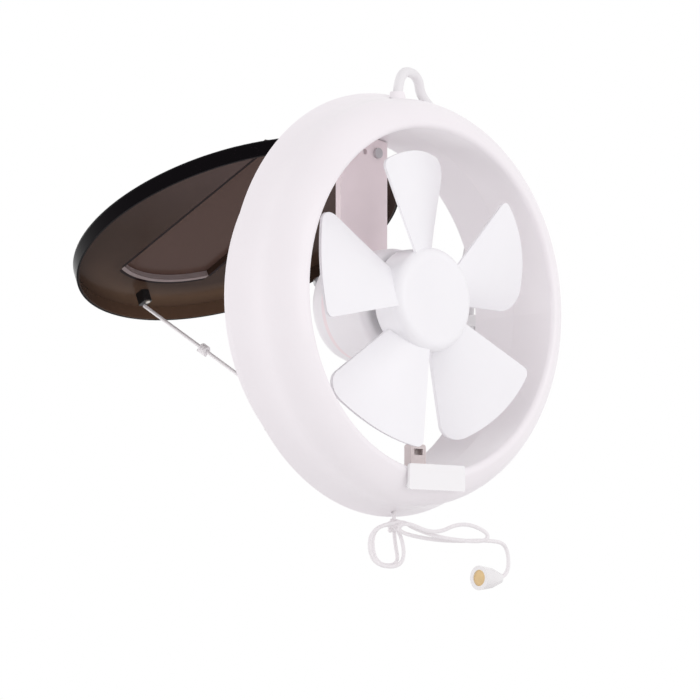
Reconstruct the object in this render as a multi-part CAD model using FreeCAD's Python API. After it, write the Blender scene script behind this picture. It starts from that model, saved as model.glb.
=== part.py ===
"""Round glass-mounted exhaust fan with a five-blade impeller and a cord-operated rear shutter.

Millimetres. The origin is the centre of the pane: the rear face of the seal is the plane y = 0.
-Y is the room, +Y is outdoors, +Z is up. The fan turns about the Y axis. Each piece is one
STEP file. The shutter is drawn shut and then swung open, which is its pose at rest.
"""
import FreeCAD, Part
import math
import os
from FreeCAD import Vector as V

os.makedirs("parts", exist_ok=True)

# Ring and duct
throat_r = 119.0         # inner wall at the duct
throat_narrowing = 5.0   # by which the inner wall is smaller at the lip
lip_out = 18.0           # throat to the outer wall where the rounded lip ends
lip_round_r = 30.0       # lip rounding, across the ring
lip_flatness = 0.927     # lip rounding along the axis, as a share of it
lip_inner_round = 3.5
ring_depth = 50.4        # pane to the front of the lip rounding
flare = 6.0              # growth of the outer wall down to the pane
flare_lift = 1.0         # ring edge to the pane
wall = 2.5
duct_taper = 1.8         # narrowing of the duct at its rear edge
duct_rear_y = 29.6
frame_flange = 3.0
flange_margin = 3.8      # ring wall to the edge of the frame's flange
seal_t = 3.0
seal_margin = 5.5        # duct bore to the seal's inner edge
edge_gap = 0.3           # between moulded edges

# Impeller
tip_room = 19.0          # blade tip to the duct
hub_r = 35.0
hub_front_y = -48.0
hub_depth = 24.0
hub_round = 7.0
hub_wall = 2.4
blade_count = 5
blade_span = 47.0        # degrees of sector
blade_t = 2.2
blade_first = 23.5       # degrees, middle of the first blade
blade_front_y = -46.0
blade_rear_y = -19.5
blade_camber = 5.0
tip_round_rear = 13.0
tip_round_front = 5.0
blade_root_depth = 19.0  # front to rear at the hub

# Motor
motor_r = 37.0
motor_front_y = -14.0
cover_depth = 12.0       # rear shell, behind the bracket
motor_wall = 2.0
motor_round = 6.0
motor_post_len = 14.0    # screw posts in the front shell
shaft_r = 4.0
bearing_r = 9.0
bearing_w = 7.0
stator_wall = 6.0        # motor's outside to the stator
stator_ring = 13.0       # stator's width across the ring
stator_w = 16.0
air_gap = 0.4
slot_count = 12
coil_fat = 4.0
run_clear = 0.05         # radial clearance of a running fit

# Motor bracket
strut_w = 44.0
strut_t = 3.0
strut_y = 22.0           # front face
strut_lip = 5.0          # folded side edges
strut_seat_h = 17.0      # seat block on the duct
screw_r = 2.0
screw_head_r = 3.6
screw_head_h = 2.2
strut_screw_x = 12.0
strut_screw_drop = 10.6  # duct bore to the screws
strut_hole_x = 0.7       # spare hole beside the screws

# Shutter and hinge
shutter_over = 1.8       # shutter's edge past the duct's bore
shutter_t = 2.2
shutter_round = 3.0
rim_depth = 10.0
rim_t = 2.2
shut_gap = 0.6
open_angle = 65.0
pin_back = 14.4          # duct's rear edge to the hinge pin
pin_rise = 3.3           # shutter's edge to the hinge pin
pin_r = 1.5
knuckle_r = 3.3
ear_x = 20.0
ear_t = 4.0
ear_len = 14.0           # grip of the hinge on the duct
ear_room = 1.2           # shutter's edge to the ears
bridge_t = 4.0
lug_x = 12.0
lug_w = 6.0
lug_grip = 12.0          # hold of a lug on the shutter's plate
recess_depth = 4.0
recess_x = -12.0            # middle of the recess
recess_low_half = 39.5
recess_top_half = 36.5
recess_top_margin = 23.0    # shutter's edge to the recess, at the hinge
recess_low_margin = 52.5    # shutter's edge to the recess's low corners
recess_sag = 12.0
spring_wire = 1.0
spring_turns = 5
spring_room = 0.2        # pin to the spring's coil
clip_margin = 21.5       # shutter's edge to the middle of the cord clip
clip_x = -11.5
clip_w = 7.0
clip_h = 9.0
clip_t = 9.0
clip_hole_r = 0.9
rivet_head_r = 1.9
rivet_head_h = 0.8

# Cord box, cord guide, badge plate and clamps
box_x = 13.2
box_w = 14.0
box_front_y = -17.0
box_depth = 6.5
box_h = 24.5             # duct bore to the box's top
box_wall = 1.2
box_round = 2.0
window_w = 8.4
window_h = 4.2
window_drop = 3.0        # box's top to its window
guide_x = 3.0
guide_y = 20.0
guide_len = 4.0
guide_lift = 8.0         # duct bore to the cord's line
guide_r = 3.6
badge_x = -3.3
badge_w = 52.0
badge_h = 17.0
badge_t = 2.0
badge_rise = 0.5         # duct bore to the badge's middle
badge_seat = 0.4         # badge's back behind the corner that the lip's rounding takes off
badge_round = 1.5
pad_w = 44.0             # foot that holds the badge on the lip
pad_h = 5.0
pad_len = 16.0
clamp_count = 4
clamp_first = 45.0       # degrees
clamp_len = 24.0
clamp_w = 4.6
clamp_t = 4.0
clamp_y = 9.0            # front face of a clamp, room for the pane
clamp_room = 0.2         # clamp to the duct
clamp_boss_len = 8.0
clamp_screw_r = 1.5
clamp_head_h = 2.0

# Cords
lead_d = 6.8
cord_d = 2.6
cord_room = 0.6          # round a cord in its hole
knot_r = 2.9
exit_x, exit_y = -1.2, -8.0        # where the pull cord leaves the ring
view_x, view_y = 0.7086, -0.7056   # level direction in which the tied loops spread
gland_x, gland_y = -3.0, -13.0
gland_t = 1.4
gland_h = 6.0
arch_h = 21.0            # lead's arch over the ring
hank_runs = 4
hank_pitch = 3.8
hank_y = 34.0
hank_half_w, hank_half_l = 23.0, 72.0
tie_w = 8.0
tie_t = 1.2
knob_x, knob_y = 32.0, -54.7
knob_drop = 41.0
knob_r = 8.2
knob_len = 20.0
knob_insert_r = 5.4
knob_insert_len = 5.2
bead_r = 4.4

# Sizes that follow
lip_r = throat_r + lip_out
lip_round_y = lip_flatness * lip_round_r
flange_r = lip_r + flare
throat_front_r = throat_r - throat_narrowing
duct_rear_r = throat_r - duct_taper
seal_in_r = throat_r + seal_margin
impeller_r = throat_r - tip_room
shutter_r = duct_rear_r + shutter_over
pin_y = duct_rear_y + pin_back
pin_z = shutter_r + pin_rise
motor_rear_y = strut_y + strut_t + cover_depth
stator_r = motor_r - stator_wall
stator_in_r = stator_r - stator_ring
rotor_r = stator_in_r - air_gap
clip_z = clip_margin - shutter_r
box_rear_y = box_front_y + box_depth
box_top_z = box_h - throat_r
guide_z = guide_lift - throat_r
badge_z = badge_rise - throat_r

AX, AY, AZ = V(1, 0, 0), V(0, 1, 0), V(0, 0, 1)
ORIGIN = V(0, 0, 0)


def save(name, shape):
    shape.exportStep("parts/%s.step" % name)


def block(x0, x1, y0, y1, z0, z1):
    return Part.makeBox(x1 - x0, y1 - y0, z1 - z0, V(x0, y0, z0))


def rod(r, y0, y1, x=0.0, z=0.0):
    return Part.makeCylinder(r, y1 - y0, V(x, y0, z), AY)


def tube(r_out, r_in, y0, y1, x=0.0, z=0.0):
    return rod(r_out, y0, y1, x, z).cut(rod(r_in, y0 - 1, y1 + 1, x, z))


def spun(edges):
    """Solid of revolution about the Y axis from a closed chain of edges (x is the radius)."""
    face = Part.Face(Part.Wire(Part.__sortEdges__(edges)))
    return face.revolve(ORIGIN, AY, 360)


def spun_poly(points):
    corners = [V(r, y, 0) for r, y in points]
    return Part.Face(Part.makePolygon(corners + corners[:1])).revolve(ORIGIN, AY, 360)


def turned(shape, angle, axis=AY, about=ORIGIN):
    copy = shape.copy()
    copy.rotate(about, axis, angle)
    return copy


def round_edges(shape, radius, pick):
    return shape.makeFillet(radius, [e for e in shape.Edges if pick(e)])


def is_circle(radius, y):
    def pick(edge):
        curve = edge.Curve
        return (isinstance(curve, Part.Circle) and abs(curve.Radius - radius) < 1e-3
                and abs(curve.Center.y - y) < 1e-3)
    return pick


def route(points):
    """Straight runs joined by tangent arcs, as one wire."""
    edges, last = [], points[0]
    for a, p, b in zip(points, points[1:], points[2:]):
        u, w = (a - p), (b - p)
        short = min(u.Length, w.Length)
        u.normalize()
        w.normalize()
        half_turn = (math.pi - u.getAngle(w)) / 2
        if half_turn < 1e-3:
            continue
        cut = 0.45 * short
        radius = cut / math.tan(half_turn)
        start, end = p + u * cut, p + w * cut
        inward = u + w
        inward.normalize()
        middle = p + inward * (radius / math.cos(half_turn) - radius)
        edges.append(Part.LineSegment(last, start).toShape())
        edges.append(Part.Arc(start, middle, end).toShape())
        last = end
    edges.append(Part.LineSegment(last, points[-1]).toShape())
    return Part.Wire(edges)


def cord(wire, diameter):
    start = wire.Edges[0]
    heading = start.tangentAt(start.FirstParameter)
    ring = Part.Wire(Part.Circle(start.valueAt(start.FirstParameter), heading, diameter / 2).toShape())
    return wire.makePipeShell([ring], True, False)


def self_gap(wire, diameter):
    """Least clear distance between stretches of a wound cord that lie apart along it."""
    step = diameter / 2
    pts = wire.discretize(Distance=step)
    skip = int(4 * diameter / step)
    least = min((pts[i] - pts[j]).Length for i in range(len(pts)) for j in range(i + skip, len(pts)))
    return least - diameter


# Front ring: rounded lip, flaring outer wall and plain throat, open at the back.
lip_y = lip_round_y - ring_depth


def ring_section(inset, back):
    inner = throat_front_r + inset
    major, minor = lip_round_r - inset, lip_round_y - inset
    centre = lip_r - lip_round_r
    turn = math.acos((inner - centre) / major)
    front = Part.ArcOfEllipse(Part.Ellipse(V(centre, lip_y, 0), major, minor), -turn, 0).toShape()
    top = V(inner, lip_y - minor * math.sin(turn), 0)
    side = V(lip_r - inset, lip_y, 0)
    edge = V(flange_r - inset, back, 0)
    sag = (edge.x - side.x) * 0.25
    skirt = Part.Arc(side, V(side.x + sag, (side.y + edge.y) / 2, 0), edge).toShape()
    foot = V(throat_r + inset, back, 0)
    return [front, skirt, Part.LineSegment(edge, foot).toShape(), Part.LineSegment(foot, top).toShape()]


web_front = -seal_t - frame_flange


def throat_rim(radius):
    """The front edge of the throat wall, which gets the lip's small inner rounding."""
    return lambda e: (isinstance(e.Curve, Part.Circle) and e.Curve.Center.y < lip_y - lip_round_y / 2
                      and abs(e.Curve.Radius - radius) < 0.01)


ring_body = round_edges(spun(ring_section(0.0, -flare_lift)), lip_inner_round, throat_rim(throat_front_r))
ring_hollow = round_edges(spun(ring_section(wall, 0.0)), lip_inner_round / 2,
                          throat_rim(throat_front_r + wall))
seat_r = throat_r + wall + edge_gap
ring_trim = rod(seat_r, web_front, 1.0)
front_ring = ring_body.cut(ring_hollow).cut(ring_trim)

# Rear frame: duct through the pane with a flange that carries the ring and the seal.
duct_out_r = duct_rear_r + wall + 0.4
flange_in_r = flange_r - wall - flange_margin
rear_frame = spun_poly([(throat_r, web_front), (flange_in_r, web_front), (flange_in_r, -seal_t),
                        (duct_out_r, -seal_t), (duct_out_r, duct_rear_y), (duct_rear_r, duct_rear_y)])
glass_seal = tube(flange_in_r - 0.5, seal_in_r, -seal_t, 0.0)

# Seat for the motor bracket on the duct's top.
seat_y = strut_y + strut_t
seat_top_r = duct_rear_r + 0.6 * wall
seat = block(-strut_w / 2, strut_w / 2, seat_y, duct_rear_y, duct_rear_r - strut_seat_h, seat_top_r)
seat = seat.common(rod(seat_top_r, seat_y, duct_rear_y))
rear_frame = rear_frame.fuse(seat)
strut_screw_z = duct_rear_r - strut_screw_drop
for x in (-strut_screw_x, strut_screw_x):
    rear_frame = rear_frame.cut(rod(screw_r, seat_y - 1, duct_rear_y + 1, x, strut_screw_z))

# Hinge ears on the duct's top rear edge.
ear_low = math.sqrt(shutter_r ** 2 - (ear_x - ear_t / 2) ** 2) + ear_room
ears = None
for side in (-1, 1):
    x0 = side * ear_x - ear_t / 2
    plate = block(x0, x0 + ear_t, duct_rear_y - ear_len, pin_y,
                  ear_low - 2 * knuckle_r, pin_z + knuckle_r - edge_gap)
    plate = plate.cut(block(x0 - 1, x0 + ear_t + 1, duct_rear_y, pin_y + 1, 0, ear_low))
    knuckle = Part.makeCylinder(knuckle_r, ear_t, V(x0, pin_y, pin_z), AX)
    plate = plate.fuse(knuckle)
    ears = plate if ears is None else ears.fuse(plate)
bridge = block(-ear_x, ear_x, duct_rear_y - ear_len, duct_rear_y - ear_len + bridge_t,
               ear_low - 2 * knuckle_r, pin_z - 1)
ears = ears.fuse(bridge).cut(rod(duct_out_r, 0, duct_rear_y))
ears = ears.cut(Part.makeCylinder(pin_r, 4 * ear_x, V(-2 * ear_x, pin_y, pin_z), AX))
shutter_hinge = ears
hinge_pin = Part.makeCylinder(pin_r, 2 * ear_x + ear_t + 3, V(-ear_x - ear_t / 2 - 1.5, pin_y, pin_z), AX)

# Clamp bosses, tabs and screws behind the pane. The tabs lie along the duct until swung out.
clamp_r = duct_out_r + clamp_w / 2 + clamp_room
boss = rod(clamp_w / 2, clamp_y + clamp_t, clamp_y + clamp_t + clamp_boss_len, clamp_r, 0)
boss_root = block(duct_out_r - 0.5, clamp_r, clamp_y + clamp_t, clamp_y + clamp_t + clamp_boss_len,
                  -clamp_w / 2, clamp_w / 2)
boss = boss.fuse(boss_root)
boss = boss.cut(rod(clamp_screw_r + run_clear, 0, 60, clamp_r, 0))
tab = block(clamp_r - clamp_w / 2, clamp_r + clamp_w / 2, clamp_y, clamp_y + clamp_t - edge_gap,
            0, clamp_len - clamp_w / 2)
tab = tab.fuse(rod(clamp_w / 2, clamp_y, clamp_y + clamp_t - edge_gap, clamp_r, 0))
tab = tab.cut(rod(duct_out_r + 0.15, 0, 60))
tab = tab.cut(rod(clamp_screw_r, 0, 60, clamp_r, 0))
screw = rod(clamp_screw_r, clamp_y, clamp_y + clamp_t + clamp_boss_len + 2 * clamp_head_h, clamp_r, 0)
screw_cap = rod(clamp_w / 2, clamp_y + clamp_t + clamp_boss_len + edge_gap,
                clamp_y + clamp_t + clamp_boss_len + edge_gap + clamp_head_h, clamp_r, 0)
clamp_screw = screw.fuse(screw_cap)
for i in range(clamp_count):
    angle = -(clamp_first + 360.0 * i / clamp_count)
    rear_frame = rear_frame.fuse(turned(boss, angle))
    save("clamp_tab_%d" % (i + 1), turned(tab, angle))
    save("clamp_screw_%d" % (i + 1), turned(clamp_screw, angle))

# Motor bracket: a folded plate from the duct's top down to a ring between the motor's halves.
strut_top = duct_rear_r - 0.4
plate = block(-strut_w / 2, strut_w / 2, strut_y, strut_y + strut_t, 0, strut_top)
plate = plate.common(rod(duct_rear_r - 0.2, strut_y, strut_y + strut_t))
fold_top = duct_rear_r - strut_seat_h - 1.5
for side in (-1, 1):
    x0 = side * strut_w / 2 - (strut_t if side > 0 else 0)
    plate = plate.fuse(block(x0, x0 + strut_t, strut_y, strut_y + strut_lip, motor_r * 0.9, fold_top))
motor_ring = rod(motor_r, strut_y, strut_y + strut_t)
motor_strut = plate.fuse(motor_ring).cut(rod(stator_r - 6, 0, 60))
for x in (-strut_screw_x, strut_screw_x):
    motor_strut = motor_strut.cut(rod(screw_r, 0, 60, x, strut_screw_z))
motor_strut = motor_strut.cut(rod(screw_r, 0, 60, strut_hole_x, strut_screw_z))


def cap_screw(y_head, y_end, x, z):
    return rod(screw_r, y_head, y_end, x, z).fuse(rod(screw_head_r, y_head - screw_head_h, y_head, x, z))


strut_screws = [cap_screw(strut_y, duct_rear_y, x, strut_screw_z) for x in (-strut_screw_x, strut_screw_x)]

# Motor: two shells, stator with wound ring, rotor on the shaft, two bearings.
shell_in = motor_r - motor_wall


def shell(y_closed, y_open):
    way = 1 if y_open > y_closed else -1
    lo, hi = min(y_closed, y_open), max(y_closed, y_open)
    body = rod(motor_r, lo, hi)
    body = round_edges(body, motor_round, is_circle(motor_r, y_closed))
    cavity_y0, cavity_y1 = sorted((y_closed + way * motor_wall, y_open))
    cavity = rod(shell_in, cavity_y0, cavity_y1)
    cavity = round_edges(cavity, motor_round - motor_wall, is_circle(shell_in, y_closed + way * motor_wall))
    post_y0, post_y1 = sorted((y_closed, y_closed + way * (bearing_w + motor_wall)))
    post = rod(bearing_r + motor_wall, post_y0, post_y1)
    pocket_y0, pocket_y1 = sorted((y_closed + way * motor_wall, y_closed + way * 20))
    return body.cut(cavity).fuse(post).cut(rod(bearing_r, pocket_y0, pocket_y1))


motor_shell = shell(motor_front_y, strut_y).cut(rod(shaft_r + 1.0, motor_front_y - 1, 0))
motor_cover = shell(motor_rear_y, strut_y + strut_t)
motor_bolt_r = motor_r - motor_wall - screw_r - 1.0
motor_screws = []
for angle in (0, 120, 240):
    x, z = motor_bolt_r * math.sin(math.radians(angle)), -motor_bolt_r * math.cos(math.radians(angle))
    post = rod(screw_r + 1.6, strut_y - motor_post_len, strut_y, x, z).common(rod(motor_r - 0.5, 0, 60))
    motor_shell = motor_shell.fuse(post).cut(rod(screw_r, strut_y - motor_post_len + 2, strut_y, x, z))
    post = rod(screw_r + 1.6, strut_y + strut_t, motor_rear_y - 4, x, z).common(rod(motor_r - 0.5, 0, 60))
    motor_cover = motor_cover.fuse(post).cut(rod(screw_r, strut_y, motor_rear_y + 1, x, z))
    motor_strut = motor_strut.cut(rod(screw_r, 0, 60, x, z))
    y_head = motor_rear_y
    motor_screws.append(rod(screw_r, strut_y - motor_post_len + 2, y_head, x, z).fuse(
        rod(screw_head_r, y_head, y_head + screw_head_h, x, z)))
motor_cover = motor_cover.removeSplitter()

stator_y0 = strut_y - stator_w - 2.0
core = tube(stator_r, stator_in_r, stator_y0, stator_y0 + stator_w)
slot = block(stator_in_r - 1, stator_r - 6, stator_y0 - 1, stator_y0 + stator_w + 1, -2.2, 2.2)
for i in range(slot_count):
    core = core.cut(turned(slot, 360.0 * (i + 0.5) / slot_count))
stator_core = core
carrier = tube(shell_in, stator_r, stator_y0, stator_y0 + stator_w)
for x, z in [(motor_bolt_r * math.sin(math.radians(a)), -motor_bolt_r * math.cos(math.radians(a)))
             for a in (0, 120, 240)]:
    post_room = rod(screw_r + 2.0, strut_y - motor_post_len - edge_gap, motor_rear_y, x, z)
    carrier = carrier.cut(post_room)
    stator_core = stator_core.cut(post_room)
stator_carrier = carrier
coil_mid_r = (stator_in_r + stator_r) / 2
stator_coil = Part.makeTorus(coil_mid_r, coil_fat, V(0, stator_y0 - coil_fat, 0), AY)
rotor_core = tube(rotor_r, shaft_r, stator_y0, stator_y0 + stator_w)
shaft_front = hub_front_y + hub_wall + 4.0
motor_shaft = rod(shaft_r, shaft_front, motor_rear_y - motor_wall - 1.0)


def bearing(y0):
    return tube(bearing_r, shaft_r + run_clear, y0, y0 + bearing_w)


front_bearing = bearing(motor_front_y + motor_wall)
rear_bearing = bearing(motor_rear_y - motor_wall - bearing_w)

# Impeller: cup hub and twisted blades. Seen from the room it turns counter-clockwise,
# so the leading edge of each blade is its counter-clockwise, front edge.
hub = rod(hub_r, hub_front_y, hub_front_y + hub_depth)
hub = round_edges(hub, hub_round, is_circle(hub_r, hub_front_y))
hollow = rod(hub_r - hub_wall, hub_front_y + hub_wall, hub_front_y + hub_depth + 1)
hollow = round_edges(hollow, hub_round - hub_wall, is_circle(hub_r - hub_wall, hub_front_y + hub_wall))
hub_boss_r = shaft_r + 4.5
hub = hub.cut(hollow).fuse(rod(hub_boss_r, hub_front_y + 1, hub_front_y + hub_depth))
hub = hub.cut(rod(shaft_r, shaft_front, 0))
half_span = math.radians(blade_span / 2)


def blade_section(x):
    """Cambered plate across the blade at distance x from the axis; +Z here is the leading side."""
    share = min(max((x - hub_r) / (impeller_r - hub_r), 0.0), 1.0)
    depth = blade_root_depth + (blade_rear_y - blade_front_y - blade_root_depth) * share
    reach = x * math.tan(half_span) + 4.0
    lead = V(x, blade_front_y + 2.0 * (1 - share), reach)
    trail = V(x, lead.y + depth, -reach)
    chord = trail - lead
    normal = V(0, chord.z, -chord.y)
    normal.normalize()
    normal = normal * (-1 if normal.y < 0 else 1)
    middle = (lead + trail) * 0.5 - normal * blade_camber
    lift = normal * (blade_t / 2)
    skins = []
    for side in (-1, 1):
        curve = Part.Arc(lead + lift * side, middle + lift * side, trail + lift * side)
        skins.append(curve.toShape())
    ends = [Part.LineSegment(lead - lift, lead + lift).toShape(),
            Part.LineSegment(trail - lift, trail + lift).toShape()]
    return Part.Wire(Part.__sortEdges__(skins + ends))


stations = [hub_r - hub_wall - 4.0, hub_r + 12.0, (hub_r + impeller_r) / 2, impeller_r + 12.0]
raw_blade = Part.makeLoft([blade_section(x) for x in stations], True, False)
planform_y0, planform_y1 = hub_front_y - 10, 10.0
corner = [V(0, planform_y0, 0)]
far = 2 * impeller_r
for s in (-1, 1):
    corner.append(V(far * math.cos(half_span), planform_y0, s * far * math.sin(half_span)))
planform = Part.Face(Part.makePolygon(corner + corner[:1])).extrude(V(0, planform_y1 - planform_y0, 0))
planform = planform.common(rod(impeller_r, planform_y0, planform_y1))


def tip_corner(sign):
    z = sign * impeller_r * math.sin(half_span)
    return lambda e: (len(e.Vertexes) == 2 and all(abs(v.Point.z - z) < 0.01 and abs(v.Point.x) > hub_r
                                                    for v in e.Vertexes))


planform = round_edges(planform, tip_round_rear, tip_corner(-1))
planform = round_edges(planform, tip_round_front, tip_corner(1))
planform = planform.cut(rod(hub_r - hub_wall / 2, planform_y0, planform_y1))
blade = raw_blade.common(planform)
impeller = hub
for i in range(blade_count):
    impeller = impeller.fuse(turned(blade, -(blade_first + 360.0 * i / blade_count)))
clip_y = hub_front_y + hub_depth - 6.0
hub_clip = tube(hub_boss_r + 1.2, hub_boss_r, clip_y, clip_y + 4.0)

# Shutter, drawn shut: shallow cap with a recess behind the motor and its bracket.
rim_y = duct_rear_y + shut_gap
plate_y = rim_y + rim_depth


def recess_face(grow, y):
    low_half, top_half = recess_low_half + grow, recess_top_half + grow
    top, low = shutter_r - recess_top_margin + grow, shutter_r - recess_low_margin + grow
    a, b = V(recess_x - top_half, y, top), V(recess_x + top_half, y, top)
    c, d = V(recess_x + low_half, y, -low), V(recess_x - low_half, y, -low)
    bottom = Part.Arc(c, V(recess_x, y, -low - recess_sag), d).toShape()
    edges = [Part.LineSegment(a, b).toShape(), Part.LineSegment(b, c).toShape(), bottom,
             Part.LineSegment(d, a).toShape()]
    return Part.Face(Part.Wire(edges))


cap = rod(shutter_r, rim_y, plate_y + shutter_t)
cap = round_edges(cap, shutter_round, is_circle(shutter_r, plate_y + shutter_t))
cap = cap.cut(rod(shutter_r - rim_t, rim_y - 1, plate_y))
cap = cap.fuse(recess_face(shutter_t, plate_y).extrude(V(0, recess_depth + shutter_t, 0)))
cap = cap.cut(recess_face(0.0, plate_y - 0.5).extrude(V(0, recess_depth + 0.5, 0)))
for side in (-1, 1):
    x0 = side * lug_x - lug_w / 2
    arm = block(x0, x0 + lug_w, plate_y + 0.5, pin_y + knuckle_r, shutter_r - lug_grip, pin_z)
    arm = arm.fuse(Part.makeCylinder(knuckle_r, lug_w, V(x0, pin_y, pin_z), AX))
    cap = cap.fuse(arm)
cap = cap.cut(Part.makeCylinder(pin_r + run_clear, 4 * lug_x, V(-2 * lug_x, pin_y, pin_z), AX))
rivet_z = clip_z + clip_h * 0.28
cap = cap.cut(rod(clip_hole_r, plate_y - 1, plate_y + shutter_t + 1, clip_x, rivet_z))
clip_body = block(clip_x - clip_w / 2, clip_x + clip_w / 2, plate_y - clip_t, plate_y,
                  clip_z - clip_h / 2, clip_z + clip_h / 2)
clip_body = round_edges(clip_body, 1.6, lambda e: abs(e.tangentAt(e.FirstParameter).y) > 0.99)
cord_eye_z = clip_z - clip_h * 0.22
clip_body = clip_body.cut(rod(clip_hole_r, plate_y - 2 * clip_t, plate_y + 1, clip_x, rivet_z))
rivet = rod(clip_hole_r, plate_y - clip_t, plate_y + shutter_t, clip_x, rivet_z)
rivet = rivet.fuse(rod(rivet_head_r, plate_y - clip_t - rivet_head_h, plate_y - clip_t, clip_x, rivet_z))
rivet = rivet.fuse(rod(rivet_head_r, plate_y + shutter_t, plate_y + shutter_t + rivet_head_h,
                       clip_x, rivet_z))
PIN = V(0, pin_y, pin_z)


def opened(shape):
    return turned(shape, open_angle, AX, PIN)


# Torsion spring on the pin, between the shutter's lugs, with its tail on the duct's rear edge.
spring_r = pin_r + spring_room + spring_wire / 2
spring_pitch = spring_wire + 0.5
spring_len = spring_turns * spring_pitch
coil_wire = Part.Wire(Part.makeHelix(spring_pitch, spring_len, spring_r).Edges)
coil_ring = Part.Wire(Part.Circle(V(spring_r, 0, 0), AY, spring_wire / 2).toShape())
spring_coil = coil_wire.makePipeShell([coil_ring], True, True)
spring_coil.rotate(ORIGIN, AY, 90)
spring_coil.translate(V(-spring_len / 2, pin_y, pin_z))
tail_start = V(-spring_len / 2, pin_y, pin_z - spring_r)
tail_end = V(-spring_len / 2, duct_rear_y, pin_z - spring_r)
spring_tail = Part.makeCylinder(spring_wire / 2, tail_start.y - tail_end.y, tail_end, AY)
torsion_spring = spring_coil.fuse(spring_tail)

# Cord box on the throat's floor, with a window and a lid, and a guide for the shutter cord behind it.
box_x0, box_x1 = box_x - box_w / 2, box_x + box_w / 2
cord_bore = cord_d / 2 + 1.5 * cord_room
outer_box = block(box_x0, box_x1, box_front_y, box_rear_y, -flange_r, box_top_z)
outer_box = round_edges(outer_box, box_round, lambda e: abs(e.tangentAt(e.FirstParameter).y) > 0.99
                        and e.CenterOfMass.z > box_top_z - 1)
inner_box = block(box_x0 + box_wall, box_x1 - box_wall, box_front_y - 1, box_rear_y - box_wall,
                  -flange_r - 1, box_top_z - box_wall)
lip_turn = math.acos((throat_front_r - lip_r + lip_round_r) / lip_round_r)
lip_front_y = lip_y - lip_round_y * math.sin(lip_turn)
ring_foot_r = throat_r - throat_narrowing * (web_front + flare_lift) / (lip_front_y + flare_lift)
duct_space = spun_poly([(0.0, lip_front_y), (throat_front_r, lip_front_y), (ring_foot_r, web_front),
                        (throat_r, web_front), (duct_rear_r, duct_rear_y), (0.0, duct_rear_y)])
cord_box = outer_box.cut(inner_box).common(duct_space)
cord_box = cord_box.cut(rod(1.5 * cord_bore, box_rear_y - 2 * box_wall, box_rear_y + 1, box_x, guide_z))
lid = block(box_x0 + box_wall + 0.1, box_x1 - box_wall - 0.1, box_front_y, box_front_y + box_wall,
            -flange_r, box_top_z - box_wall - 0.1).common(duct_space)
window = block(box_x - window_w / 2, box_x + window_w / 2, box_front_y - 1, box_front_y + box_depth / 2,
               box_top_z - window_drop - window_h, box_top_z - window_drop)
box_lid = lid.cut(window)
guide_post = block(guide_x - guide_r / 2, guide_x + guide_r / 2, guide_y - guide_len, guide_y,
                   -flange_r, guide_z - cord_bore).common(duct_space)
guide_post.translate(V(0, 0, run_clear))
cord_eyelet = rod(guide_r, guide_y - guide_len, guide_y, guide_x, guide_z).fuse(guide_post)
cord_eyelet = cord_eyelet.cut(rod(cord_bore, guide_y - 2 * guide_len, guide_y + 1, guide_x, guide_z))

# The pull cord goes down through the throat's floor in the box, and out of the ring's bottom.
turn_y = box_front_y + box_depth / 2
drop_r = cord_d / 2 + cord_room
floor_hole = Part.makeCylinder(drop_r, 2 * guide_lift, V(box_x, turn_y, -throat_r - guide_lift), AZ)
exit_hole = Part.makeCylinder(drop_r, lip_out, V(exit_x, exit_y, -flange_r - flare), AZ)

# Bare badge plate in front of the lip's foot, on a pad that fits the lip.
badge = block(-badge_w / 2, badge_w / 2, -badge_t, 0, -badge_h / 2, badge_h / 2)
badge = round_edges(badge, badge_round, lambda e: abs(e.tangentAt(e.FirstParameter).y) > 0.99)
pad_z = badge_round - badge_h / 2
badge = badge.fuse(block(-pad_w / 2, pad_w / 2, -badge_t / 2, pad_len, pad_z, pad_z + pad_h))
badge.translate(V(badge_x, lip_front_y + badge_seat, badge_z))
badge = badge.cut(spun(ring_section(0.0, -flare_lift)))
badge_plate = max(badge.Solids, key=lambda part: part.Volume)

# Cords. The lead arches out of its gland on the ring's top, runs round the flange and is folded
# away beside the duct.
gland_z = math.sqrt(lip_r ** 2 - gland_x ** 2)
edge_r = flange_r + lead_d / 2 + 4 * edge_gap


def on_edge(angle, y):
    a = math.radians(angle)
    return V(edge_r * math.cos(a), y, edge_r * math.sin(a))


hank_x = duct_out_r + lead_d / 2 + 2.2
lead_points = [V(gland_x, gland_y, gland_z - 4), V(gland_x, gland_y, gland_z + arch_h),
               V(25.0, -5.0, gland_z + arch_h + 2), on_edge(76, 3.0), on_edge(58, 4.0), on_edge(40, 4.0)]
for i in range(hank_runs + 1):
    way = -1 if i % 2 == 0 else 1
    x = hank_x + hank_pitch * i
    for end in (1, -1):
        lead_points.append(V(x if end > 0 else x + hank_pitch, hank_y + hank_half_w * way,
                             -hank_half_l * way * end))
lead_wire = route(lead_points)
mains_lead = cord(lead_wire, lead_d)
collar_r = lead_d / 2 + gland_t
foot_r = collar_r + gland_t
gland_low = V(gland_x, gland_y, gland_z - 3 * gland_h)
gland = Part.makeCone(foot_r, collar_r, gland_h, V(gland_x, gland_y, gland_z), AZ)
gland = gland.fuse(Part.makeCylinder(foot_r, gland_h, V(gland_x, gland_y, gland_z - gland_h), AZ))
lip_len = -flare_lift - lip_y
skirt_r = [lip_r + flare * ((gland_y + way * foot_r - lip_y) / lip_len) ** 2 for way in (-1, 1)]
gland = gland.cut(Part.makeCone(skirt_r[0], skirt_r[1], 2 * foot_r, V(0, gland_y - foot_r, 0), AY))
gland = gland.fuse(Part.makeCylinder(collar_r, gland_h, V(gland_x, gland_y, gland_z - gland_h + 1), AZ))
lead_gland = gland.cut(Part.makeCylinder(lead_d / 2, 6 * gland_h, gland_low, AZ))
front_ring = front_ring.cut(Part.makeCylinder(collar_r, 6 * gland_h, gland_low, AZ))


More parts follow.
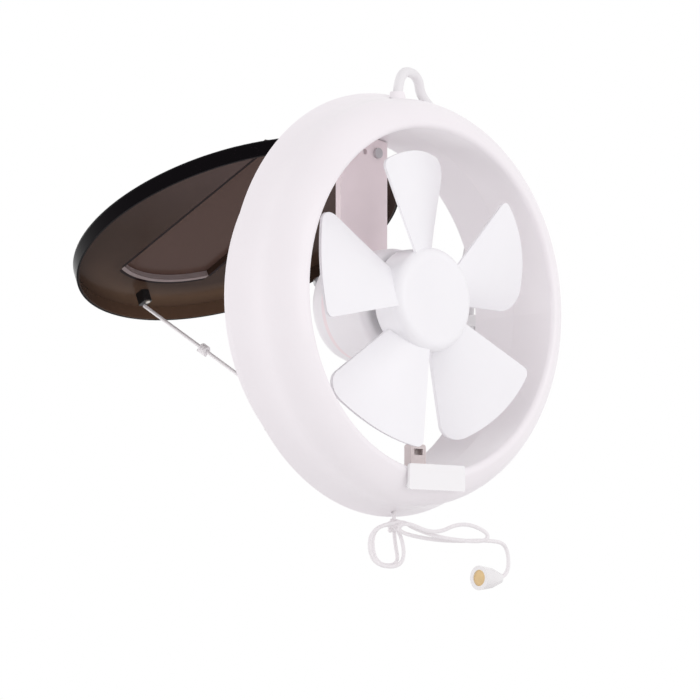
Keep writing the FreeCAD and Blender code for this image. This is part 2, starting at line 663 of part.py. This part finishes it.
def loop_point(across, z, near):
    """Point in the level sheet in which the tied pull cord spreads, `near` millimetres to the front."""
    return V(exit_x + across * view_x + near * view_y, exit_y + across * view_y - near * view_x, z)


drop_z = -flange_r
layer = cord_d + 0.7
pull_points = [loop_point(0, drop_z - 1.5, 0), loop_point(0, drop_z - 15, 0)]
for i in range(2):
    near = layer * 2.1 * (i + 1)
    pull_points += [loop_point(4 + 5 * i, drop_z - 33 - i, near - layer * 2),
                    loop_point(-13 - 2 * i, drop_z - 32 - i, near - layer),
                    loop_point(-15 - 2 * i, drop_z - 8 - i, near - layer * 0.4),
                    loop_point(3 + 3 * i, drop_z - 4 + i, near)]
front = layer * 5.2
behind = front - 5.0
knob_tail = V(knob_x + knob_len, knob_y, drop_z - knob_drop)
pull_points += [loop_point(12, drop_z - 8, front), loop_point(31, drop_z - 15, front),
                loop_point(67, drop_z - 18, front), loop_point(69, drop_z - 11, front + 1),
                loop_point(45, drop_z - 4, front + 2), loop_point(27, drop_z - 13, front + 4),
                loop_point(8, drop_z - 4, front + 4), loop_point(2, drop_z - 9, front),
                loop_point(10, drop_z - 13, behind), loop_point(34, drop_z - 17, behind),
                loop_point(66, drop_z - 16, behind), knob_tail + V(7, -1, 22), knob_tail + V(9, 0, 0),
                knob_tail + V(-5, 0, 0)]
pull_wire = route(pull_points)
pull_cord = cord(pull_wire, cord_d)
bead = Part.makeSphere(bead_r, loop_point(0, drop_z - 6, 0))
pull_knot = bead.cut(Part.makeCylinder(cord_d / 2, 40, loop_point(0, drop_z - 26, 0), AZ))
stub_points = [V(guide_x, guide_y, guide_z), V(guide_x, guide_y - 2 * guide_len, guide_z),
               V(box_x, turn_y, guide_z), V(box_x, turn_y, guide_z - guide_len),
               V(box_x, turn_y, -throat_r - 5), V(exit_x, exit_y, -lip_r + 3),
               loop_point(0, drop_z - 1.5, 0)]
pull_stub = cord(route(stub_points), cord_d)

# Knob: bell with a cream insert in its open end, lying along X.
bell = [(0.0, 0.0), (cord_d / 2 + 2.2, 0.0), (knob_r - 1.4, knob_len * 0.45), (knob_r, knob_len),
        (0.0, knob_len)]
knob = Part.Face(Part.makePolygon([V(r, y, 0) for r, y in bell] + [V(0, 0, 0)])).revolve(ORIGIN, AY, 360)
insert_y = knob_len - knob_insert_len - 0.8
knob = knob.cut(rod(cord_d / 2, -1, 7.0)).cut(rod(knob_insert_r, insert_y, knob_len + 1))
insert = rod(knob_insert_r, insert_y, insert_y + knob_insert_len)


def lay_knob(shape):
    laid = turned(shape, 90, AZ)
    laid.translate(knob_tail)
    return laid


pull_knob, knob_insert = lay_knob(knob), lay_knob(insert)

# Shutter cord: taut from the clip to the eyelet, with the joining knot part way.
clip_face = V(clip_x, plate_y - clip_t - cord_d / 2, cord_eye_z)
clip_end = opened(Part.Vertex(clip_face)).Point
eye = V(guide_x, guide_y + cord_room, guide_z)
run = eye - clip_end
shutter_cord = Part.makeCylinder(cord_d / 2, run.Length, clip_end, run)
knot_at = clip_end + run * 0.28
shutter_cord = shutter_cord.fuse(Part.makeSphere(knot_r, knot_at))

# Holes for the pull cord through the throat's floor and the ring's bottom.
front_ring = front_ring.cut(floor_hole).cut(exit_hole)
rear_frame = rear_frame.removeSplitter()
cord_box = max(cord_box.Solids, key=lambda s: s.Volume)

tie_lo = hank_x - lead_d / 2 - cord_room
tie_hi = hank_x + hank_pitch * (hank_runs + 1) + lead_d / 2 + cord_room
tie_half = hank_half_w + lead_d / 2 + cord_room
tie_out = block(tie_lo - tie_t, tie_hi + tie_t, hank_y - tie_half - tie_t, hank_y + tie_half + tie_t,
                -tie_w / 2, tie_w / 2)
tie_in = block(tie_lo, tie_hi, hank_y - tie_half, hank_y + tie_half, -tie_w, tie_w)
lead_tie = tie_out.cut(tie_in)

save("front_ring", front_ring)
save("rear_frame", rear_frame)
save("glass_seal", glass_seal)
save("badge_plate", badge_plate)
save("shutter_hinge", shutter_hinge)
save("hinge_pin", hinge_pin)
save("torsion_spring", torsion_spring)
save("motor_strut", motor_strut)
for i, shape in enumerate(strut_screws):
    save("strut_screw_%d" % (i + 1), shape)
save("motor_shell", motor_shell)
save("motor_cover", motor_cover)
for i, shape in enumerate(motor_screws):
    save("motor_screw_%d" % (i + 1), shape)
save("stator_core", stator_core)
save("stator_carrier", stator_carrier)
save("stator_coil", stator_coil)
save("front_bearing", front_bearing)
save("rear_bearing", rear_bearing)
save("rotor_core", rotor_core)
save("motor_shaft", motor_shaft)
save("impeller", impeller)
save("hub_clip", hub_clip)
save("shutter", opened(cap))
save("cord_clip", opened(clip_body))
save("clip_rivet", opened(rivet))
save("shutter_cord", shutter_cord)
save("cord_box", cord_box)
save("box_lid", box_lid)
save("cord_eyelet", cord_eyelet)
save("pull_stub", pull_stub)
save("pull_cord", pull_cord)
save("pull_knot", pull_knot)
save("pull_knob", pull_knob)
save("knob_insert", knob_insert)
save("lead_gland", lead_gland)
save("mains_lead", mains_lead)
save("lead_tie", lead_tie)

print("mains lead radius %.2f, length %.0f, least gap to itself %.2f"
      % (lead_d / 2, lead_wire.Length, self_gap(lead_wire, lead_d)))
print("pull cord radius %.2f, length %.0f, least gap to itself %.2f"
      % (cord_d / 2, pull_wire.Length, self_gap(pull_wire, cord_d)))
print("shutter cord radius %.2f, length %.0f" % (cord_d / 2, run.Length))
shut_run = (clip_face - eye).Length
print("pull travel %.2f" % (run.Length - shut_run))
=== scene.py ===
import math
import bpy
from mathutils import Matrix, Vector


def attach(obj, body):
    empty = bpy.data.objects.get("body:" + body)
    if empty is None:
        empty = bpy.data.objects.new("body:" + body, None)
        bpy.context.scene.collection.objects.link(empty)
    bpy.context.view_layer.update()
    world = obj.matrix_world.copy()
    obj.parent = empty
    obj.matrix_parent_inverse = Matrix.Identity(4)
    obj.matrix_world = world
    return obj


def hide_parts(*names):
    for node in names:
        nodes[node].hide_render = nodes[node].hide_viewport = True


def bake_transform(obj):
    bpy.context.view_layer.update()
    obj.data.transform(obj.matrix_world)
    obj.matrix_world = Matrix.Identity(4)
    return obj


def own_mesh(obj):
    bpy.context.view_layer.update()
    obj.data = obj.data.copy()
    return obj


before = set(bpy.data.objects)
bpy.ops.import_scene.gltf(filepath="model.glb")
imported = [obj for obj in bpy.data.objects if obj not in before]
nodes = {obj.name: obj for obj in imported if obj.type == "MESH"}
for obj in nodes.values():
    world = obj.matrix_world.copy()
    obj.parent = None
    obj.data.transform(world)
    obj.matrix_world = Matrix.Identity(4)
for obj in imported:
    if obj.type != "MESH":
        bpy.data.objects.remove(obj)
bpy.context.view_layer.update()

scene = bpy.context.scene
scene.view_settings.view_transform = "Standard"


# Materials

tone_stops = (0.3, 0.7)
gloss_finer = 3
least_rough = 0.02
relief_depth = 0.0004


def surface(name, colour, rough, mottle=0.02, patch=25.0, grain=0.02, fine=1400.0, vary=0.05,
            **sockets):
    """A shader with soft patches of tone and roughness and a fine grain in its relief.

    The tone varies by mottle, in patches of scale patch. The relief has the strength grain and
    the scale fine. The roughness strays by vary to either side.
    """
    material = bpy.data.materials.new(name)
    material.use_nodes = True
    tree = material.node_tree
    shader = tree.nodes["Principled BSDF"]
    place = tree.nodes.new("ShaderNodeTexCoord").outputs["Object"]

    def noise(scale, detail):
        node = tree.nodes.new("ShaderNodeTexNoise")
        node.inputs["Scale"].default_value = scale
        node.inputs["Detail"].default_value = detail
        tree.links.new(place, node.inputs["Vector"])
        return node.outputs["Fac"]

    tone = tree.nodes.new("ShaderNodeValToRGB")
    for stop, at, gain in zip(tone.color_ramp.elements, tone_stops, (1 - mottle, 1 + mottle)):
        stop.position = at
        stop.color = [min(c * gain, 1.0) for c in colour] + [1.0]
    tree.links.new(noise(patch, detail=3.0), tone.inputs["Fac"])
    tree.links.new(tone.outputs["Color"], shader.inputs["Base Color"])
    gloss = tree.nodes.new("ShaderNodeMapRange")
    gloss.inputs["To Min"].default_value = max(rough - vary, least_rough)
    gloss.inputs["To Max"].default_value = rough + vary
    tree.links.new(noise(patch * gloss_finer, detail=2.0), gloss.inputs["Value"])
    tree.links.new(gloss.outputs["Result"], shader.inputs["Roughness"])
    bump = tree.nodes.new("ShaderNodeBump")
    bump.inputs["Strength"].default_value = grain
    bump.inputs["Distance"].default_value = relief_depth
    tree.links.new(noise(fine, detail=2.0), bump.inputs["Height"])
    tree.links.new(bump.outputs["Normal"], shader.inputs["Normal"])
    for socket, value in sockets.items():
        shader.inputs[socket.replace("_", " ")].default_value = value
    return material


white_plastic = surface("white_moulding", (0.955, 0.921, 0.943), 0.34, mottle=0.008, grain=0.03,
                        Coat_Weight=0.15)
fan_plastic = surface("white_impeller", (0.962, 0.96, 0.98), 0.36, mottle=0.01, grain=0.025,
                      Coat_Weight=0.1)
badge_white = surface("bare_badge", (0.95, 0.945, 0.95), 0.22, mottle=0.006, grain=0.015,
                      Coat_Weight=0.3)
box_plastic = surface("box_moulding", (0.74, 0.665, 0.655), 0.4, mottle=0.02, grain=0.05)
motor_white = surface("motor_moulding", (0.94, 0.925, 0.94), 0.38, mottle=0.02, grain=0.06)
bracket_paint = surface("bracket_paint", (0.95, 0.84, 0.86), 0.42, mottle=0.03, grain=0.12,
                        fine=700.0)
smoked = surface("smoked_plastic", (0.050, 0.029, 0.021), 0.18, mottle=0.08, grain=0.02,
                 Alpha=0.995, Specular_IOR_Level=0.035)
black_plastic = surface("black_moulding", (0.010, 0.010, 0.011), 0.36, mottle=0.15, grain=0.08)
foam = surface("grey_foam", (0.33, 0.33, 0.34), 0.85, mottle=0.12, patch=160.0, grain=0.7,
               fine=900.0)
steel = surface("plated_steel", (0.60, 0.60, 0.61), 0.3, mottle=0.05, patch=120.0, grain=0.05,
                Metallic=1.0)
lamination = surface("core_steel", (0.35, 0.34, 0.34), 0.45, mottle=0.1, patch=200.0, grain=0.2,
                     Metallic=1.0)
copper = surface("wound_copper", (0.62, 0.27, 0.13), 0.35, mottle=0.15, patch=300.0, grain=0.5,
                 fine=2200.0, Metallic=1.0)
rivet_metal = surface("rivet_metal", (0.78, 0.75, 0.68), 0.3, mottle=0.05, grain=0.05,
                      Metallic=1.0)
sheath = surface("lead_sheath", (0.88, 0.87, 0.88), 0.42, mottle=0.015, grain=0.04)
braid = surface("braided_cord", (0.92, 0.895, 0.905), 0.8, mottle=0.03, patch=900.0, grain=0.3,
                fine=2600.0)
knob_plastic = surface("knob_moulding", (0.88, 0.87, 0.87), 0.25, mottle=0.01, grain=0.02,
                       Coat_Weight=0.3)
knob_cream = surface("knob_insert", (0.78, 0.57, 0.29), 0.45, mottle=0.06, patch=180.0, grain=0.08)

# The shutter's tones, laid out on its plan: the shutter as it lies when shut, measured from the
# fan's axis, x to the right and z up. Most tones are painted light and shade. Each pair runs from
# where a mask is nothing to where it is whole. The pairs of the painted shade lines and of the
# painted light low in the recess are the two sides of a band.
hinge_pin = Vector((0, 0.044, 0.1223))
shut_angle = math.radians(-65)
recess_x, recess_half, recess_taper = -0.012, 0.03827, 0.01846
bow_centre = (recess_x, 0, -0.0075)
inner_facing, wall_facing, rim_facing = (0.2, 0.5), (0.5, 0.8), (0.3, 0.8)
low_z, straight_z, top_z = (-0.058, -0.060), (-0.060, -0.058), (0.0965, 0.0960)
within_side, within_floor, bow_floor = (0.0004, 0.0), (0.0, -0.0005), (0.0711, 0.0708)
side_edge, side_edge_z = (0.0, 0.0023), (-0.067, 0.096)
low_edge, low_wall = (0.0742, 0.0762), (0.0708, 0.0739)
far_x, far_z, far_r = (-0.09, -0.01), (-0.03, -0.07), (0.085, 0.102)
wall_r, rim_wall_r, rim_r = (0.108, 0.100), (0.112, 0.115), (0.1165, 0.1180)
# A painted sheen, lighter towards the hinge.
sheen_z, sheen_share = (-0.02, 0.11), 0.6
sheen_tone = (0.15, 0.105, 0.10)
# Painted light on the far band near the rim.
far_light_tone = (0.125, 0.078, 0.052)
# Painted light on the recess's floor.
recess_light_tone = (0.100, 0.060, 0.049)
# Painted shade lines along the recess's sides and low edge.
edge_shade_tone = (0.012, 0.004, 0.004)
# Painted light on the recess's low and upward-facing walls.
lit_wall_tone = (0.30, 0.245, 0.24)
rim_tone = (0.003, 0.002, 0.003)
# Painted light on the far rim's upward side.
lit_rim_wall_tone = (0.14, 0.083, 0.054)


def shade_shutter(material, shutter):
    """Tones the shutter by place and facing.

    The rim is black. Painted light makes the recess's low and upward-facing walls pale, its floor
    lighter, the far edge browner and lighter and the far rim's upward side lighter; painted shade
    darkens the lines along the recess's sides and low edge, and a painted sheen lightens the
    shutter towards the hinge.
    """
    tree = material.node_tree
    shader = tree.nodes["Principled BSDF"]
    base = shader.inputs["Base Color"].links[0].from_socket
    shut = (Matrix.Translation(hinge_pin) @ Matrix.Rotation(shut_angle, 4, "X")
            @ Matrix.Translation(-hinge_pin))
    lay = shut @ shutter.matrix_world
    coords = tree.nodes.new("ShaderNodeTexCoord")
    plan = tree.nodes.new("ShaderNodeMapping")
    plan.inputs["Location"].default_value = lay.to_translation()
    plan.inputs["Rotation"].default_value = lay.to_euler()
    tree.links.new(coords.outputs["Object"], plan.inputs["Vector"])

    def combine(kind, vector, other, output):
        node = tree.nodes.new("ShaderNodeVectorMath")
        node.operation = kind
        node.inputs[1].default_value = other
        tree.links.new(vector, node.inputs[0])
        return node.outputs[output]

    def calc(kind, first, second=0.0):
        node = tree.nodes.new("ShaderNodeMath")
        node.operation = kind
        for socket, value in zip(node.inputs, (first, second)):
            if isinstance(value, float):
                socket.default_value = value
            else:
                tree.links.new(value, socket)
        return node.outputs[0]

    def both(first, *others):
        for other in others:
            first = calc("MULTIPLY", first, other)
        return first

    def either(first, second):
        return calc("MAXIMUM", first, second)

    def step(value, limits):
        node = tree.nodes.new("ShaderNodeMapRange")
        node.inputs["From Min"].default_value, node.inputs["From Max"].default_value = limits
        tree.links.new(value, node.inputs["Value"])
        return node.outputs["Result"]

    def band(value, limits, soft=0.0003):
        low, high = limits
        return both(step(value, (low - soft, low)), step(value, (high + soft, high)))

    def mixed(share, first, colour):
        node = tree.nodes.new("ShaderNodeMix")
        node.data_type = "RGBA"
        tree.links.new(share, node.inputs["Factor"])
        tree.links.new(first, node.inputs["A"])
        node.inputs["B"].default_value = (*colour, 1)
        return node.outputs["Result"]

    def faces(direction):
        local = lay.to_3x3().inverted() @ Vector(direction)
        return combine("DOT_PRODUCT", coords.outputs["Normal"], local, "Value")

    flat = combine("MULTIPLY", plan.outputs["Vector"], (1, 0, 1), "Vector")
    radius = combine("DISTANCE", flat, (0, 0, 0), "Value")
    bow = combine("DISTANCE", flat, bow_centre, "Value")
    x = combine("DOT_PRODUCT", flat, (1, 0, 0), "Value")
    z = combine("DOT_PRODUCT", flat, (0, 0, 1), "Value")
    up = faces((0, 0, 1))
    off_centre = calc("ABSOLUTE", calc("SUBTRACT", x, recess_x))
    side = calc("SUBTRACT", calc("ADD", off_centre, calc("MULTIPLY", z, recess_taper)),
                recess_half)

    inner = step(faces((0, -1, 0)), inner_facing)
    low = both(inner, step(z, low_z), step(side, within_side))
    # The recess's floor, which gets painted light.
    recess = both(inner, either(step(z, straight_z), step(bow, bow_floor)),
                  step(side, within_floor), step(z, top_z))
    far = both(step(x, far_x), step(z, far_z))
    # Painted shade lines along the recess's sides and low edge.
    edge_shade = either(both(inner, band(side, side_edge), band(z, side_edge_z)),
                   both(low, band(bow, low_edge)))
    # Painted light on the recess's low and upward-facing walls.
    lit_wall = either(both(step(up, wall_facing), step(radius, wall_r)),
                  both(low, band(bow, low_wall)))

    # A painted sheen, lighter towards the hinge.
    tone = mixed(both(step(z, sheen_z), sheen_share), base, sheen_tone)
    # Painted light on the far band near the rim.
    tone = mixed(both(inner, far, step(radius, far_r)), tone, far_light_tone)
    tone = mixed(recess, tone, recess_light_tone)
    tone = mixed(edge_shade, tone, edge_shade_tone)
    tone = mixed(lit_wall, tone, lit_wall_tone)
    tone = mixed(step(radius, rim_r), tone, rim_tone)
    # Painted light on the far rim's upward side.
    tone = mixed(both(far, step(up, rim_facing), step(radius, rim_wall_r)), tone, lit_rim_wall_tone)
    tree.links.new(tone, shader.inputs["Base Color"])


shade_shutter(smoked, nodes["shutter"])

finishes = {
    "front_ring": white_plastic, "rear_frame": white_plastic, "lead_gland": white_plastic,
    "glass_seal": foam, "badge_plate": badge_white, "shutter_hinge": white_plastic,
    "hinge_pin": steel, "torsion_spring": steel, "motor_strut": bracket_paint,
    "motor_shell": motor_white, "motor_cover": motor_white, "stator_core": lamination,
    "stator_carrier": motor_white, "stator_coil": copper, "front_bearing": steel,
    "rear_bearing": steel, "cord_box": box_plastic, "box_lid": box_plastic,
    "cord_eyelet": box_plastic, "lead_tie": sheath, "impeller": fan_plastic, "hub_clip": steel,
    "motor_shaft": steel, "rotor_core": lamination, "shutter": smoked,
    "cord_clip": black_plastic, "clip_rivet": rivet_metal, "pull_knob": knob_plastic,
    "knob_insert": knob_cream,
}
for name, node in nodes.items():
    finish = finishes.get(name)
    if finish is None:
        finish = white_plastic if name.startswith("clamp_tab") else steel
    node.data.materials.clear()
    node.data.materials.append(finish)


# Cords

lip_r, flange_r, duct_out_r = 0.137, 0.143, 0.1201
lead_d, cord_d = 0.0068, 0.0026
# Where the pull cord leaves the ring's floor, and the level direction across the photograph's view.
exit_x, exit_y, drop_z = -0.0012, -0.008, -flange_r
view_x, view_y = 0.7086, -0.7056
turn_steps = 8


def tube(name, points, diameter, material):
    """A round cord along a smooth line by these control points, its length and its centre line."""
    curve = bpy.data.curves.new(name, "CURVE")
    curve.dimensions = "3D"
    curve.resolution_u = 8
    line = curve.splines.new("NURBS")
    line.points.add(len(points) - 1)
    for point, place in zip(line.points, points):
        point.co = (*place, 1.0)
    line.order_u = 3
    line.use_endpoint_u = True
    curve.bevel_resolution = 5
    curve.use_fill_caps = True
    source = bpy.data.objects.new(name, curve)
    scene.collection.objects.link(source)

    def evaluated():
        bpy.context.view_layer.update()
        shaped = source.evaluated_get(bpy.context.evaluated_depsgraph_get())
        return bpy.data.meshes.new_from_object(shaped)

    path = [v.co.copy() for v in evaluated().vertices]
    curve.bevel_depth = diameter / 2
    mesh = evaluated()
    bpy.data.objects.remove(source)
    mesh.materials.clear()
    mesh.materials.append(material)
    for polygon in mesh.polygons:
        polygon.use_smooth = True
    piece = bpy.data.objects.new(name, mesh)
    scene.collection.objects.link(piece)
    return piece, sum((b - a).length for a, b in zip(path, path[1:])), path


def wrapping(middle, axis, radius, turns, pitch):
    """Control points of a cord wound round an axis, as in a tied knot."""
    side = axis.cross(Vector((1, 0, 0))).normalized()
    across = axis.cross(side).normalized()
    points = []
    for i in range(int(turns * turn_steps) + 1):
        angle = math.tau * i / turn_steps
        along = axis * (pitch * (i / turn_steps - turns / 2))
        points.append(middle + along
                      + (side * math.cos(angle) + across * math.sin(angle)) * radius)
    return points


def loop_point(across, z, near):
    """A point of the tied loops: across the photograph's view, at a height, and towards it."""
    return Vector((exit_x + across * view_x + near * view_y,
                   exit_y + across * view_y - near * view_x, z))


# Mains lead: out of its gland, over the ring's top, round the flange and folded away beside the
# duct.
gland_x, gland_y = -0.003, -0.013
gland = Vector((gland_x, gland_y, math.sqrt(lip_r ** 2 - gland_x ** 2)))
flange_gap, duct_gap = 0.0012, 0.0022
edge_r = flange_r + lead_d / 2 + flange_gap


def on_edge(angle, y):
    """A point beside the flange's edge, at an angle in degrees up from the right."""
    a = math.radians(angle)
    return Vector((edge_r * math.cos(a), y, edge_r * math.sin(a)))


lead_points = [gland + Vector((0, 0, -0.004)), gland + Vector((0, 0, 0.021)),
               Vector((0.025, -0.005, gland.z + 0.023)), on_edge(76, 0.003), on_edge(58, 0.004),
               on_edge(40, 0.004)]
hank_x, hank_pitch, hank_y = duct_out_r + lead_d / 2 + duct_gap, 0.0038, 0.034
hank_folds, hank_width, hank_height = 5, 0.023, 0.072
for i in range(hank_folds):
    way = -1 if i % 2 == 0 else 1
    for end in (1, -1):
        lead_points.append(Vector((hank_x + hank_pitch * (i if end > 0 else i + 1),
                                   hank_y + hank_width * way, -hank_height * way * end)))
mains_lead, lead_length, lead_path = tube("lead_cable", lead_points, lead_d, sheath)
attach(mains_lead, "frame")
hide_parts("mains_lead")

# Pull cord: two tied loops, a long loop to the right, a strand back behind it and the knob.
layer = cord_d + 0.0007
pull_points = [loop_point(0, drop_z - 0.0015, 0), loop_point(0, drop_z - 0.015, 0)]
for i in range(2):
    near = layer * 2.1 * (i + 1)
    pull_points += [
        loop_point(0.004 + 0.005 * i, drop_z - 0.033 - 0.001 * i, near - layer * 2),
        loop_point(-0.013 - 0.002 * i, drop_z - 0.032 - 0.001 * i, near - layer),
        loop_point(-0.015 - 0.002 * i, drop_z - 0.008 - 0.001 * i, near - layer * 0.4),
        loop_point(0.003 + 0.003 * i, drop_z - 0.004 + 0.001 * i, near),
    ]
front = layer * 5.2
behind = front - 0.005
for across, drop, near in (
        (0.012, 0.008, front), (0.031, 0.015, front), (0.061, 0.018, front),
        (0.063, 0.011, front + 0.001), (0.045, 0.004, front + 0.002),
        (0.027, 0.013, front + 0.004), (0.008, 0.004, front + 0.004), (0.002, 0.009, front),
        (0.010, 0.013, behind), (0.034, 0.017, behind), (0.066, 0.016, behind)):
    pull_points.append(loop_point(across, drop_z - drop, near))
knob_tail = Vector((0.052, -0.0547, drop_z - 0.041))
pull_points += [knob_tail + Vector((0.007, -0.001, 0.022)), knob_tail + Vector((0.009, 0, 0)),
                knob_tail + Vector((-0.005, 0, 0))]
pull_cord, pull_length, pull_path = tube("pull_line", pull_points, cord_d, braid)
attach(pull_cord, "pull")
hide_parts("pull_cord")
pull_knot = wrapping(loop_point(0, drop_z - 0.006, 0), Vector((0, 0, 1)), radius=0.0032,
                     turns=3.0, pitch=cord_d * 0.9)
pull_wrap, _, _ = tube("pull_wrap", pull_knot, cord_d, braid)
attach(pull_wrap, "pull")
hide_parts("pull_knot")

# The stretch of the pull cord inside the box, which pays out as the knob is drawn down.
guide = Vector((0.003, 0.020, -0.111))
turn = Vector((0.0132, -0.01375, guide.z))
stub_points = [guide, guide + Vector((0, -0.008, 0)), turn, turn + Vector((0, 0, -0.004)),
               Vector((turn.x, turn.y, -0.124)), Vector((exit_x, exit_y, -0.134)), pull_points[0]]
stub, _, _ = tube("pull_inner_line", stub_points, cord_d, braid)
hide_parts("pull_stub")
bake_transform(stub)

# Shutter cord: taut from the clip to the guide, with a joining knot part way.
clip_end = Vector((-0.0115, 0.239042, 0.015793))
eye = guide + Vector((0, 0.0006, 0))
run = clip_end - eye
shutter_line, line_length, line_path = tube("shutter_line", [eye, eye + run * 0.5, clip_end],
                                            cord_d, braid)
joining_knot = wrapping(clip_end - run * 0.28, run.normalized(), radius=cord_d * 1.05, turns=3.2,
                        pitch=cord_d * 0.85)
shutter_knot, _, _ = tube("shutter_knot", joining_knot, cord_d, braid)
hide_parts("shutter_cord")
for piece in (shutter_line, shutter_knot):
    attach(piece, "frame")
    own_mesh(piece)


# Stage, light and camera

floor_r, floor_z, floor_sides = 1.2, -0.45, 64
floor_grey, floor_rough = 0.88, 0.8


def stage_material():
    material = bpy.data.materials.new("pale_floor")
    material.use_nodes = True
    shader = material.node_tree.nodes["Principled BSDF"]
    shader.inputs["Base Color"].default_value = (floor_grey, floor_grey, floor_grey, 1)
    shader.inputs["Roughness"].default_value = floor_rough
    return material


# The floor lies low enough for the knob when the pull cord is drawn right down.
floor_mesh = bpy.data.meshes.new("floor")
angles = [math.tau * i / floor_sides for i in range(floor_sides)]
ring = [(floor_r * math.cos(a), floor_r * math.sin(a), floor_z) for a in angles]
floor_mesh.from_pydata(ring, [], [range(floor_sides)])
floor_mesh.materials.append(stage_material())
floor = bpy.data.objects.new("floor", floor_mesh)
scene.collection.objects.link(floor)

# The sky lights the part softly, and is plain white where it is seen, mirrored or looked through.
sky_tint, sky_strength = (1.0, 0.975, 0.995, 1), 0.81
world = bpy.data.worlds.new("studio")
scene.world = world
world.use_nodes = True
tree = world.node_tree
sky = tree.nodes["Background"]
sky.inputs["Color"].default_value = sky_tint
sky.inputs["Strength"].default_value = sky_strength
plain = tree.nodes.new("ShaderNodeBackground")
plain.inputs["Color"].default_value = (1, 1, 1, 1)
rays = tree.nodes.new("ShaderNodeLightPath")
seen = rays.outputs["Is Camera Ray"]
for kind in ("Is Transmission Ray", "Is Glossy Ray"):
    either = tree.nodes.new("ShaderNodeMath")
    either.operation = "MAXIMUM"
    tree.links.new(seen, either.inputs[0])
    tree.links.new(rays.outputs[kind], either.inputs[1])
    seen = either.outputs[0]
choice = tree.nodes.new("ShaderNodeMixShader")
for source, socket in zip((seen, sky.outputs[0], plain.outputs[0]), choice.inputs):
    tree.links.new(source, socket)
tree.links.new(choice.outputs[0], tree.nodes["World Output"].inputs["Surface"])


def soft_box(name, place, target, size, power):
    lamp = bpy.data.lights.new(name, "AREA")
    lamp.size = size
    lamp.energy = power
    lamp_object = bpy.data.objects.new(name, lamp)
    lamp_object.location = place
    aim = Vector(target) - Vector(place)
    lamp_object.rotation_euler = aim.to_track_quat("-Z", "Y").to_euler()
    scene.collection.objects.link(lamp_object)
    return lamp_object


soft_box("front", place=(-0.2, -2.2, 0.4), target=(0, 0, 0), size=1.6, power=8.5)
back_lamp = soft_box("back", place=(-0.9, 1.25, -0.55), target=(0.1, 0.0, 0.0), size=0.9,
                     power=12.0)
back_lamp.visible_glossy = False

camera = bpy.data.cameras.new("camera")
camera.sensor_width = 36.0
camera.lens = 162.6
camera.shift_x, camera.shift_y = -0.0784, -0.0678
camera.clip_end = 20.0
view = bpy.data.objects.new("camera", camera)
view.location = (-1.4871, -1.5109, -0.2212)
look_at = Vector((0, -0.01728, 0))
view.rotation_euler = (look_at - view.location).to_track_quat("-Z", "Y").to_euler()
scene.collection.objects.link(view)
scene.camera = view

bpy.context.view_layer.update()
